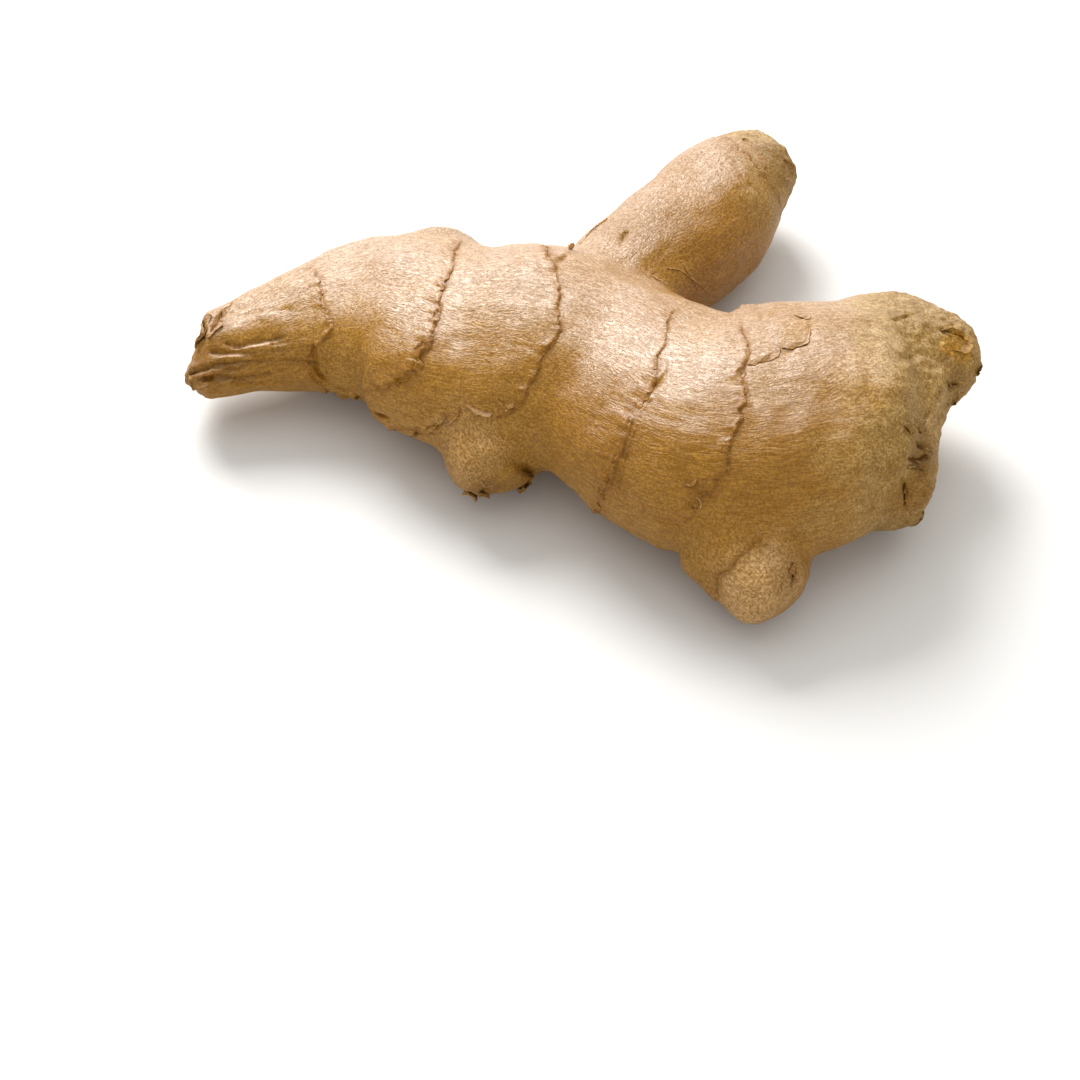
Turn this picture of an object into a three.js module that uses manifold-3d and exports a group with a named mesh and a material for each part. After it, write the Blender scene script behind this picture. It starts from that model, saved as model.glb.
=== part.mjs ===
// Ginger root: one piece of fresh rhizome, broken from a larger hand, lying on its flat side.
// It grew as one body, so it is one closed solid: a thick trunk of seven internodes, one side finger
// behind, a low bud behind, two buds in front, and the lobes of its torn right end.
// Millimetres, +Z up, X along the trunk, origin in the middle of the footprint on the surface it lies on.
import * as THREE from "three";
import { LoftGeometry } from "three/addons/geometries/LoftGeometry.js";
import { ImprovedNoise } from "three/addons/math/ImprovedNoise.js";
import { mergeVertices } from "three/addons/utils/BufferGeometryUtils.js";
import Module from "manifold-3d";

const wasm = await Module();
wasm.setup();
const noise = new ImprovedNoise();

// Each limb is drawn by stations along its middle line: x, y, z, half width across, half thickness.
// Each scar, where a scale leaf sat, is a line round the limb, given by points: an angle round the limb
// in degrees (0 behind, 90 on top, 180 in front) and how far along the middle line the scar lies there.
// start: the slanting edge of the inner end, given as a scar is.
// pleats: how many, how deep, and how far from the inner end they run out.
// torn: how far from the tip the surface is rough, how high, and how coarse.
const TRUNK = {
  stations: [
    [-72.0, 7.0, 11.6, 7.8, 6.0],
    [-57.0, 12.0, 12.5, 10.2, 8.2],
    [-45.0, 15.4, 13.0, 14.6, 11.0],
    [-33.0, 15.0, 14.0, 19.0, 13.2],
    [-20.0, 8.4, 15.0, 21.6, 15.2],
    [-8.0, 5.4, 16.0, 22.4, 16.4],
    [5.0, -1.0, 16.0, 20.4, 15.6],
    [18.0, -12.0, 16.9, 23.4, 17.2],
    [31.0, -14.6, 17.8, 24.8, 18.0],
    [45.0, -11.0, 18.0, 22.0, 17.6],
    [57.0, -9.5, 17.5, 19.0, 15.8],
  ],
  scars: [
    [[40, 25.5], [100, 27.3], [128, 28], [150, 22.5], [175, 22], [200, 24], [270, 26]],
    [
      [51, 46.6], [88, 51.3], [120, 53.8], [150, 52.2], [168, 47.5],
      [184, 38], [207, 30], [250, 28], [310, 36],
    ],
    [
      [71, 68.4], [110, 74.2], [140, 73.6], [157, 71], [170, 62.5],
      [184, 55], [207, 50], [260, 49], [330, 59],
    ],
    [[67, 88.8], [98, 96], [130, 98], [182, 97.2], [270, 91], [340, 87]],
    [[44, 108.2], [84, 109.6], [130, 108.3], [165, 104.6], [195, 102.8], [270, 102], [340, 105]],
    [[31, 133], [95, 130.4], [123, 129], [152, 124.7], [181, 121.5], [270, 124]],
  ],
  start: [[0, 4.6], [90, 3.2], [180, 0], [270, 0.5]],
  pleats: [9, 0.7, 24],
  torn: [14, 1.6, 5],
  ends: [1.2, 5],
  sides: 60,
  row: 3.3,
};
const FINGER = {
  stations: [
    [-2.0, 8.0, 15.5, 13.0, 11.0],
    [9.0, 25.4, 14.5, 12.0, 11.3],
    [20.6, 38.8, 12.8, 12.8, 12.6],
    [27.0, 48.4, 13.2, 12.0, 11.4],
    [32.2, 54.4, 13.8, 9.4, 8.8],
    [36.8, 59.6, 14.4, 6.2, 5.8],
  ],
  scars: [
    [[0, 23], [70, 20.4], [96, 16], [180, 15], [270, 18]],
    [[0, 57], [90, 54.5], [130, 53], [180, 54], [270, 56]],
  ],
  start: [[0, 0]],
  pleats: [0, 0, 1],
  torn: [12, 1.0, 4],
  ends: [3, 2],
  sides: 32,
  row: 2.4,
};
const LEFT_BUD = {
  stations: [
    [-18.5, -4.8, 13.0, 9.5, 9.0],
    [-15.0, -12.4, 11.0, 9.8, 9.0],
    [-11.8, -18.6, 9.0, 8.8, 7.6],
  ],
  scars: [],
  start: [[0, 0]],
  pleats: [0, 0, 1],
  torn: [5, 0.8, 3],
  ends: [3, 4],
  sides: 22,
  row: 2.2,
};
const RIGHT_BUD = {
  stations: [
    [23.5, -31.0, 13.5, 11.0, 11.0],
    [28.6, -38.8, 10.5, 8.8, 8.6],
    [34.3, -45.3, 9.0, 7.8, 7.0],
  ],
  scars: [[[0, 8.8], [90, 8.4], [180, 9.6]]],
  start: [[0, 0]],
  pleats: [0, 0, 1],
  torn: [5, 0.6, 3],
  ends: [3, 4],
  sides: 24,
  row: 2.2,
};
const BACK_BUD = {
  stations: [
    [-26.0, 14.0, 15.0, 10.0, 9.0],
    [-26.0, 25.0, 15.5, 9.8, 9.0],
    [-26.4, 33.4, 16.0, 8.4, 7.8],
  ],
  scars: [],
  start: [[0, 0]],
  pleats: [0, 0, 1],
  torn: [5, 0.6, 3],
  ends: [3, 4],
  sides: 20,
  row: 2.2,
};
const UPPER_LOBE = {
  stations: [
    [44.0, 1.0, 17.5, 13.0, 12.4],
    [54.0, 2.4, 18.0, 12.2, 11.6],
    [62.0, 3.0, 18.5, 10.2, 9.2],
    [66.4, 4.8, 18.6, 7.2, 6.6],
    [69.6, 6.0, 18.8, 4.2, 3.8],
  ],
  scars: [],
  start: [[0, 0]],
  pleats: [0, 0, 1],
  torn: [12, 1.2, 4],
  ends: [3, 1.2],
  sides: 26,
  row: 2.2,
};
const LOWER_LOBE = {
  stations: [
    [48.0, -15.9, 14.0, 12.6, 12.0],
    [56.0, -18.6, 13.5, 12.0, 11.5],
    [60.6, -19.0, 13.0, 9.5, 9.1],
  ],
  scars: [],
  start: [[0, 0]],
  pleats: [0, 0, 1],
  torn: [10, 1.2, 4],
  ends: [3, 2.5],
  sides: 26,
  row: 2.2,
};
const MIDDLE_LOBE = {
  stations: [
    [46.0, -6.0, 16.5, 13.0, 12.5],
    [56.0, -8.0, 16.8, 12.0, 11.6],
    [62.8, -9.6, 16.4, 9.2, 9.0],
  ],
  scars: [],
  start: [[0, 0]],
  pleats: [0, 0, 1],
  torn: [10, 1.2, 4],
  ends: [3, 2.5],
  sides: 26,
  row: 2.2,
};
const LIMBS = [TRUNK, FINGER, LEFT_BUD, RIGHT_BUD, BACK_BUD, UPPER_LOBE, MIDDLE_LOBE, LOWER_LOBE];
const FOOTPRINT = { x: -0.55, y: 7.09 }; // middle of the footprint, where the origin is moved to

const LIP = 0.9; // how far the edge of each internode stands over the next one
const STEP = 0.5; // how far along the limb the lip takes to drop
const LUMP = 0.9; // height of the slow lumps all over
const LUMP_SIZE = 9; // their spacing
const ROUNDING = 0.8; // how much of its section each end rounds away
const TURN = 360;

// How far along the limb a scar lies at an angle round it: a smooth closed wave through its points.
function scarAt(points, angle) {
  const count = points.length;
  const pointAt = (i) => {
    const [at, distance] = points[((i % count) + count) % count];
    return { at: at + Math.floor(i / count) * TURN, distance };
  };
  const first = points[0][0];
  const turned = first + ((((angle - first) % TURN) + TURN) % TURN);
  let i = 0;
  while (pointAt(i + 1).at <= turned) i++;
  const [p0, p1, p2, p3] = [pointAt(i - 1), pointAt(i), pointAt(i + 1), pointAt(i + 2)];
  const span = p2.at - p1.at;
  const slope1 = ((p2.distance - p0.distance) / (p2.at - p0.at)) * span;
  const slope2 = ((p3.distance - p1.distance) / (p3.at - p1.at)) * span;
  const t = (turned - p1.at) / span;
  const [t2, t3] = [t * t, t * t * t];
  return (
    p1.distance * (2 * t3 - 3 * t2 + 1) +
    slope1 * (t3 - 2 * t2 + t) +
    p2.distance * (3 * t2 - 2 * t3) +
    slope2 * (t3 - t2)
  );
}

// The limb's outer surface as closed rings of points, from its inner end to its tip.
function sections({ stations, scars, start, pleats, torn, ends, sides, row }) {
  const line = new THREE.CatmullRomCurve3(
    stations.map(([x, y, z]) => new THREE.Vector3(x, y, z)),
    false,
    "catmullrom",
  );
  line.arcLengthDivisions = 400;
  const girth = new THREE.SplineCurve(
    stations.map(([, , , width, height]) => new THREE.Vector2(width, height)),
  );
  const length = line.getLength();
  const up = new THREE.Vector3(0, 0, 1);
  const [pleatCount, pleatDepth, pleatReach] = pleats;
  const [tornReach, tornHeight, tornSize] = torn;

  function point(distance, angle, raised) {
    const t = line.getUtoTmapping(THREE.MathUtils.clamp(distance / length, 0, 1));
    const middle = line.getPoint(t);
    const tangent = line.getTangent(t);
    const across = new THREE.Vector3().crossVectors(up, tangent).normalize();
    const above = new THREE.Vector3().crossVectors(tangent, across);
    const { x: width, y: height } = girth.getPoint(t);
    const turn = THREE.MathUtils.degToRad(angle);
    const out = across
      .multiplyScalar(Math.cos(turn) * width)
      .addScaledVector(above, Math.sin(turn) * height);
    const reach = out.length();
    const { x, y, z } = middle.clone().add(out);
    const lump = noise.noise(x / LUMP_SIZE, y / LUMP_SIZE, z / LUMP_SIZE) * LUMP;
    const tear = noise.noise(x / tornSize, y / tornSize, z / tornSize) * tornHeight;
    const tearShare = THREE.MathUtils.smoothstep(distance, length - tornReach, length);
    const pleatShare = 1 - THREE.MathUtils.smoothstep(distance, 0, pleatReach);
    const pleat = Math.abs(Math.sin((turn * pleatCount) / 2)) * pleatDepth * pleatShare;
    const inside = [(distance - scarAt(start, angle)) / ends[0], (length - distance) / ends[1]];
    const dome = inside.reduce((product, d) => {
      const gap = 1 - THREE.MathUtils.clamp(d, 0, 1);
      return product * Math.sqrt(1 - gap * gap * ROUNDING);
    }, 1);
    const grown = reach + lump + tear * tearShare + pleat + raised;
    return middle.addScaledVector(out, (dome * grown) / reach);
  }

  const bands = [start, ...scars, [[0, length]]];
  const rings = [];
  for (let i = 0; i + 1 < bands.length; i++) {
    const [from, to] = [bands[i], bands[i + 1]];
    const rows = Math.max(2, Math.round((scarAt(to, 110) - scarAt(from, 110)) / row));
    const isLast = i + 2 === bands.length;
    for (let j = 0; j <= rows; j++) {
      const share = j / rows;
      rings.push(
        Array.from({ length: sides }, (_, side) => {
          const angle = (side / sides) * TURN;
          const begin = scarAt(from, angle) + (i > 0 ? STEP : 0);
          const lift = isLast ? 0 : LIP * share ** 3;
          return point(THREE.MathUtils.lerp(begin, scarAt(to, angle), share), angle, lift);
        }),
      );
    }
  }
  return rings;
}

// A closed geometry as a solid that can be joined and cut.
function solid(closed) {
  const bare = new THREE.BufferGeometry();
  bare.setAttribute("position", closed.attributes.position);
  bare.setIndex(closed.index);
  const merged = mergeVertices(bare, 1e-4);
  return new wasm.Manifold(
    new wasm.Mesh({
      numProp: 3,
      vertProperties: merged.attributes.position.array,
      triVerts: new Uint32Array(merged.index.array),
    }),
  );
}

const limbs = LIMBS.map((limb) =>
  solid(new LoftGeometry(sections(limb), { capStart: true, capEnd: true })),
);
const grown = limbs.reduce((all, limb) => all.add(limb));

// The surface that the root lies on presses its low points flat.
const FLOOR = 400;
const floor = solid(new THREE.BoxGeometry(FLOOR, FLOOR, FLOOR).translate(0, 0, -FLOOR / 2));
const rested = grown.subtract(floor).getMesh();

const geometry = new THREE.BufferGeometry();
geometry.setAttribute("position", new THREE.BufferAttribute(rested.vertProperties, 3));
geometry.setIndex(new THREE.BufferAttribute(rested.triVerts, 1));
geometry.translate(-FOOTPRINT.x, -FOOTPRINT.y, 0);
geometry.computeVertexNormals();

const rhizome = new THREE.Mesh(
  geometry,
  new THREE.MeshStandardMaterial({ color: 0xc9a578, roughness: 0.6, metalness: 0 }),
);
rhizome.name = "rhizome";

const ginger = new THREE.Group();
ginger.add(rhizome);
export default ginger;
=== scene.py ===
"""Ginger root: one piece of fresh rhizome, lying on a pale surface."""

import math

import bmesh
import bpy
import numpy as np
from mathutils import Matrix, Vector
from mathutils.bvhtree import BVHTree
from mathutils.kdtree import KDTree


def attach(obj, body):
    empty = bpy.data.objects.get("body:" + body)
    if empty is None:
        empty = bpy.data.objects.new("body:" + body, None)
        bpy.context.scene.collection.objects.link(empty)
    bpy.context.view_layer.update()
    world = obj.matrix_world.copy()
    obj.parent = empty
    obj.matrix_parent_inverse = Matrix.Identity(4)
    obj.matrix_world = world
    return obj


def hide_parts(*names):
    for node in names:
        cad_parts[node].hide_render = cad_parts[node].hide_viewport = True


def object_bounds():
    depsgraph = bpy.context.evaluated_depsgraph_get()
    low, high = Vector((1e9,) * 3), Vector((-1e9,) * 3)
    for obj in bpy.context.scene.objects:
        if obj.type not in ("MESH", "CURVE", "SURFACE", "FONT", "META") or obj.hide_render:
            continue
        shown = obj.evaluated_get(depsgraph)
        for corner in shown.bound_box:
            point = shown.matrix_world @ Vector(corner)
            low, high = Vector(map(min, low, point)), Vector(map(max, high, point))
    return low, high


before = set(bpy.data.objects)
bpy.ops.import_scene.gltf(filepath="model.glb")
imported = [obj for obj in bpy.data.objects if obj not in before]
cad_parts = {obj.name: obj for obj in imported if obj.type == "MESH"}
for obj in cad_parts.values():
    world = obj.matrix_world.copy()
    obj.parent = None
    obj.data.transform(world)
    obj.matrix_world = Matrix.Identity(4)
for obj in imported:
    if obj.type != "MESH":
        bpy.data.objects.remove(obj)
solid_box = [list(corner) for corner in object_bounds()]

bl_info = {
    "name": "Ginger Root",
    "version": (1, 0, 0),
    "blender": (4, 5, 0),
    "location": "View3D > Sidebar > Ginger",
    "description": "Builds a ginger root with its wrinkled skin, scale edges and torn ends",
    "category": "Object",
}

MM = 0.001
SKIN = "rhizome_skin"

# The root's limbs, as its solid has them, in millimetres from the middle of the trunk.
# stations: x, y, z of the middle line, half width across, half thickness.
# scars: lines round the limb, each by an angle (0 behind, 90 on top, 180 in front) and a distance along.
MIDDLE = np.array([0.55, -7.09, 0.0])  # from the stations' origin to the middle of the footprint
TRUNK_STATIONS = [
    (-72.0, 7.0, 11.6, 7.8, 6.0),
    (-57.0, 12.0, 12.5, 10.2, 8.2),
    (-45.0, 15.4, 13.0, 14.6, 11.0),
    (-33.0, 15.0, 14.0, 19.0, 13.2),
    (-20.0, 8.4, 15.0, 21.6, 15.2),
    (-8.0, 5.4, 16.0, 22.4, 16.4),
    (5.0, -1.0, 16.0, 20.4, 15.6),
    (18.0, -12.0, 16.9, 23.4, 17.2),
    (31.0, -14.6, 17.8, 24.8, 18.0),
    (45.0, -11.0, 18.0, 22.0, 17.6),
    (57.0, -9.5, 17.5, 19.0, 15.8),
]
TRUNK_SCARS = [
    [(40, 25.5), (100, 27.3), (128, 28), (150, 22.5), (175, 22), (200, 24), (270, 26)],
    [(51, 46.6), (88, 51.3), (120, 53.8), (150, 52.2), (168, 47.5)]
    + [(184, 38), (207, 30), (250, 28), (310, 36)],
    [(71, 68.4), (110, 74.2), (140, 73.6), (157, 71), (170, 62.5)]
    + [(184, 55), (207, 50), (260, 49), (330, 59)],
    [(67, 88.8), (98, 96), (130, 98), (182, 97.2), (270, 91), (340, 87)],
    [(44, 108.2), (84, 109.6), (130, 108.3), (165, 104.6), (195, 102.8), (270, 102), (340, 105)],
    [(31, 133), (95, 130.4), (123, 129), (152, 124.7), (181, 121.5), (270, 124)],
]
FINGER_STATIONS = [
    (-2.0, 8.0, 15.5, 13.0, 11.0),
    (9.0, 25.4, 14.5, 12.0, 11.3),
    (20.6, 38.8, 12.8, 12.8, 12.6),
    (27.0, 48.4, 13.2, 12.0, 11.4),
    (32.2, 54.4, 13.8, 9.4, 8.8),
    (36.8, 59.6, 14.4, 6.2, 5.8),
]
FINGER_SCARS = [
    [(0, 23), (70, 20.4), (96, 16), (180, 15), (270, 18)],
    [(0, 57), (90, 54.5), (130, 53), (180, 54), (270, 56)],
]
LEFT_BUD_STATIONS = [
    (-18.5, -4.8, 13.0, 9.5, 9.0),
    (-15.0, -12.4, 11.0, 9.8, 9.0),
    (-11.8, -18.6, 9.0, 8.8, 7.6),
]
RIGHT_BUD_STATIONS = [
    (23.5, -31.0, 13.5, 11.0, 11.0),
    (28.6, -38.8, 10.5, 8.8, 8.6),
    (34.3, -45.3, 9.0, 7.8, 7.0),
]
RIGHT_BUD_SCARS = [[(0, 8.8), (90, 8.4), (180, 9.6)]]
BACK_BUD_STATIONS = [
    (-26.0, 14.0, 15.0, 10.0, 9.0),
    (-26.0, 25.0, 15.5, 9.8, 9.0),
    (-26.4, 33.4, 16.0, 8.4, 7.8),
]
# How strongly each scar shows, from 0 to 1, and the angles between which it fades out at the back.
TRUNK_MARKS = [(0.8, 20, 60), (1.0, 20, 50), (1.0, 20, 50), (0.9, 20, 68), (0.8, 20, 62), (0.0, 0, 0)]
FINGER_MARKS = [(0.0, 0, 0), (0.7, 0, 0)]
RIGHT_BUD_MARKS = [(0.7, 0, 0)]
SCAR_FADE = 8  # half the angle over which a scar fades, in degrees
SOLID_LIP = 0.9  # how far the solid's internode edges stand proud
SOLID_STEP = 0.5  # how far they take to drop
NO_SCAR = 9.0  # the scar distance where no scar is near
EDGE_WIDTH = 1.8  # how far back over its own internode the dry edge of a scale leaf reaches
EDGE_THICKNESS = 0.08  # of the scale edges
FLAKE_THICKNESS = 0.1  # of the torn flakes
EDGE_SPACING = 0.4  # between a scale edge's points along its scar
FLAKE_SPACING = 0.35  # between a flake's points along its edge
FIBRE_SPACING = 0.7  # between the rings of points along a fibre
FIBRE_SIDES = 8  # points round a fibre
SHEET_ROWS = 5  # steps from a thin sheet's held edge to its free edge
COVERED = 3.0  # how far past a limb's girth its skin may lie before another limb counts as covering it
POINT = 0.18  # millimetres of skin to one picture point, about
SKIN_INSET = 0.01  # how far inside the solid's box the skin stays
TRIM_INSET = 0.05  # how far above the floor a thin sheet's points stay, and inside the box a fibre's
FLAKE_INSET = 0.15  # how far inside the box a flake stays before it is given its thickness
UPPER_SIDE = [-0.1, 0.45, 0.89]  # the way that the skin's top side faces; the skin is painted paler there, as painted highlight, and made glossier
SEARCHED_AT_ONCE = 40000  # places whose nearest point on a limb is searched at a time, to save memory
SOFTENING_ROUNDS = 100  # how often the seams and scars are drawn smooth
LEAST_SOFTNESS = 0.06  # of the skin away from seams and scars
SHARP_FOLD = math.radians(50)  # the least angle that looks sharp on the thin pieces
SAME_PLACE = 1e-6  # metres within which vertices are one

# The camera looks down at the root as in the photograph, whose picture is 1080 points wide and high.
PICTURE = 1080
LENS = 100.0
SENSOR = 36.0
ELEVATION = math.radians(50.0)
AIM = Vector((-7.02, -29.21, -2.56)) * MM
CAMERA_DISTANCE = 0.5283
LOOK = Vector((0.0, math.cos(ELEVATION), -math.sin(ELEVATION)))
UP = Vector((0.0, math.sin(ELEVATION), math.cos(ELEVATION)))
EYE = AIM - LOOK * CAMERA_DISTANCE

# Creases, cracks and pits, drawn where the camera sees them: picture points from end to end,
# half width and depth in millimetres, and how dark the bottom is painted, as painted shade.
CREASES = [
    ([(229, 304), (218, 318), (209, 332)], 0.4, 0.8, 0.9),
    ([(203, 337), (237, 346), (279, 338), (322, 334)], 0.35, 0.9, 0.7),
    ([(188, 374), (210, 366), (255, 362), (314, 363)], 0.35, 1.2, 0.8),
    ([(198, 380), (219, 377), (243, 381), (270, 375)], 0.4, 1.2, 0.9),
    ([(216, 369), (238, 371), (256, 360)], 0.3, 0.8, 0.7),
    ([(210, 352), (250, 353), (300, 350)], 0.35, 0.8, 0.6),
    ([(232, 384), (262, 386), (300, 382)], 0.35, 0.8, 0.6),
    ([(262, 346), (290, 342), (318, 344)], 0.3, 0.6, 0.5),
    ([(240, 356), (276, 357), (310, 356)], 0.3, 0.6, 0.5),
    ([(222, 322), (256, 312), (296, 308)], 0.5, 0.25, 0.1),
    ([(312, 344), (315, 359), (318, 374), (330, 386)], 0.4, 0.6, 0.9),
    ([(320, 348), (325, 360), (326, 374)], 0.3, 0.4, 0.5),
    ([(330, 386), (357, 398), (390, 422), (402, 431)], 0.45, 0.5, 0.8),
    ([(438, 310), (428, 319), (416, 325)], 0.4, 0.5, 0.8),
    ([(430, 336), (420, 345), (409, 350)], 0.4, 0.4, 0.7),
    ([(424, 352), (412, 364), (400, 373)], 0.35, 0.4, 0.6),
    ([(414, 364), (402, 376), (388, 386)], 0.35, 0.4, 0.5),
    ([(566, 255), (556, 262)], 0.4, 0.5, 0.7),
    ([(556, 262), (553, 275)], 0.35, 0.4, 0.5),
    ([(667, 372), (656, 384), (644, 394)], 0.3, 0.5, 0.7),
    ([(626, 231), (620, 244)], 0.5, 0.9, 0.9),
    ([(517, 466), (527, 471), (534, 477)], 1.0, 1.1, 0.9),
    ([(531, 479), (527, 488), (517, 492)], 0.6, 0.8, 0.8),
    ([(413, 438), (418, 430), (428, 427), (441, 425)], 0.4, 0.5, 0.7),
    ([(482, 485), (486, 490), (481, 494)], 0.4, 0.6, 0.8),
    ([(468, 492), (474, 496), (470, 499)], 0.4, 0.5, 0.7),
    ([(740, 367), (752, 364), (765, 360), (776, 351)], 0.25, 0.25, 0.5),
    ([(776, 351), (788, 352), (797, 345), (808, 341)], 0.3, 0.35, 0.5),
    ([(796, 318), (808, 316)], 0.3, 0.3, 0.4),
    ([(776, 305), (790, 304), (806, 306)], 0.3, 0.3, 0.4),
    ([(811, 322), (812, 332), (806, 341)], 0.3, 0.3, 0.3),
    ([(888, 320), (900, 319), (911, 315), (922, 311)], 0.15, 0.5, 0.8),
    ([(940, 328), (952, 334), (963, 338)], 0.35, 0.6, 0.6),
    ([(900, 360), (918, 354), (934, 358)], 0.9, 0.5, 0.0),
    ([(880, 430), (890, 446), (888, 466)], 0.8, 0.4, 0.0),
    ([(868, 352), (872, 372), (870, 396)], 0.7, 0.3, 0.0),
    ([(862, 430), (876, 452), (880, 480), (874, 508)], 0.6, 0.35, 0.1),
    ([(930, 412), (922, 424)], 0.4, 0.5, 0.5),
    ([(949, 384), (956, 385)], 0.5, 0.9, 0.9),
    ([(943, 392), (938, 401)], 0.5, 0.8, 0.7),
    ([(905, 426), (909, 435)], 0.4, 0.8, 0.8),
    ([(916, 424), (920, 433)], 0.4, 0.8, 0.8),
    ([(915, 443), (924, 446)], 0.6, 1.0, 0.9),
    ([(906, 459), (920, 460), (933, 456)], 0.45, 0.7, 0.8),
    ([(908, 468), (922, 470)], 0.4, 0.5, 0.6),
    ([(903, 474), (906, 490), (904, 504)], 0.4, 0.5, 0.6),
    ([(876, 394), (879, 403), (877, 412)], 0.3, 0.4, 0.7),
    ([(868, 385), (876, 389), (882, 387)], 0.3, 0.3, 0.4),
    ([(951, 352), (942, 362), (930, 368)], 1.0, 0.4, 0.2),
    ([(690, 488), (698, 490)], 0.9, 1.0, 0.9),
    ([(700, 478), (704, 486)], 0.5, 0.5, 0.6),
    ([(601, 506), (604, 507)], 0.5, 0.8, 0.9),
    ([(797, 565), (793, 585)], 0.6, 0.6, 0.6),
    ([(786, 580), (779, 590)], 0.4, 0.4, 0.4),
    ([(746, 150), (754, 166), (770, 182)], 0.5, 0.4, 0.4),
    ([(730, 150), (744, 176), (762, 196)], 0.5, 0.3, 0.2),
]
# Soft patches of colour, drawn the same way: middle, radius in millimetres, strength.
# Golden-brown skin: real golden-brown marks, and, on the undersides, the low sides and under the finger,
# painted shade.
GOLDEN = [
    ((470, 374), 14, 0.35),
    ((585, 425), 16, 0.9),
    ((650, 425), 12, 0.5),
    ((690, 445), 14, 0.4),
    ((785, 455), 17, 0.6),
    ((365, 368), 12, 0.35),
    ((258, 374), 8, 0.6),
    ((215, 372), 8, 0.8),
    ((300, 372), 8, 0.6),
    ((730, 240), 14, 0.8),
    ((745, 268), 11, 0.9),
    ((700, 292), 8, 1.0),
    ((672, 290), 5, 0.9),
    ((655, 312), 7, 0.5),
    ((620, 232), 5, 0.5),
    ((697, 490), 4, 0.9),
    ((716, 448), 5, 0.7),
    ((703, 470), 4, 0.8),
    ((688, 522), 4, 0.6),
    ((796, 328), 4, 0.5),
    ((878, 392), 4, 0.9),
    ((560, 262), 3, 0.5),
    ((402, 372), 5, 0.6),
    ((372, 392), 4, 0.5),
    ((486, 488), 5, 0.6),
    ((412, 384), 5, 0.7),
    ((690, 470), 4, 0.5),
    ((640, 470), 7, 0.3),
    ((770, 600), 5, 0.5),
    ((500, 398), 5, 0.5),
]
# Lighter, sandy skin.
SANDY = [
    ((757, 592), 12, 0.8),
    ((466, 455), 11, 0.4),
    ((885, 385), 12, 0.5),
    ((925, 390), 8, 0.4),
]
# Scars of broken-off shoots.
AMBER = [
    ((965, 346), 4.5, 1.0),
    ((908, 492), 4.5, 0.7),
    ((877, 402), 2.0, 0.5),
    ((872, 388), 2.0, 0.4),
    ((799, 331), 3.5, 0.3),
    ((706, 462), 4, 0.4),
]
# Green-tan skin.
OLIVE = [
    ((905, 350), 13, 0.8),
    ((925, 400), 14, 0.9),
    ((900, 450), 14, 0.9),
    ((885, 500), 13, 0.8),
    ((945, 345), 8, 0.5),
    ((850, 460), 9, 0.6),
    ((770, 165), 9, 0.7),
    ((765, 205), 9, 0.5),
    ((830, 520), 8, 0.4),
]
# Dry, torn skin.
DRY = [
    ((208, 330), 5, 0.6),
    ((205, 370), 6, 0.6),
    ((922, 455), 6, 0.8),
    ((915, 495), 6, 0.8),
    ((955, 380), 5, 0.5),
    ((487, 490), 5, 0.8),
    ((786, 580), 4, 0.5),
    ((780, 160), 5, 0.5),
    ((697, 490), 3, 0.7),
]

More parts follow.
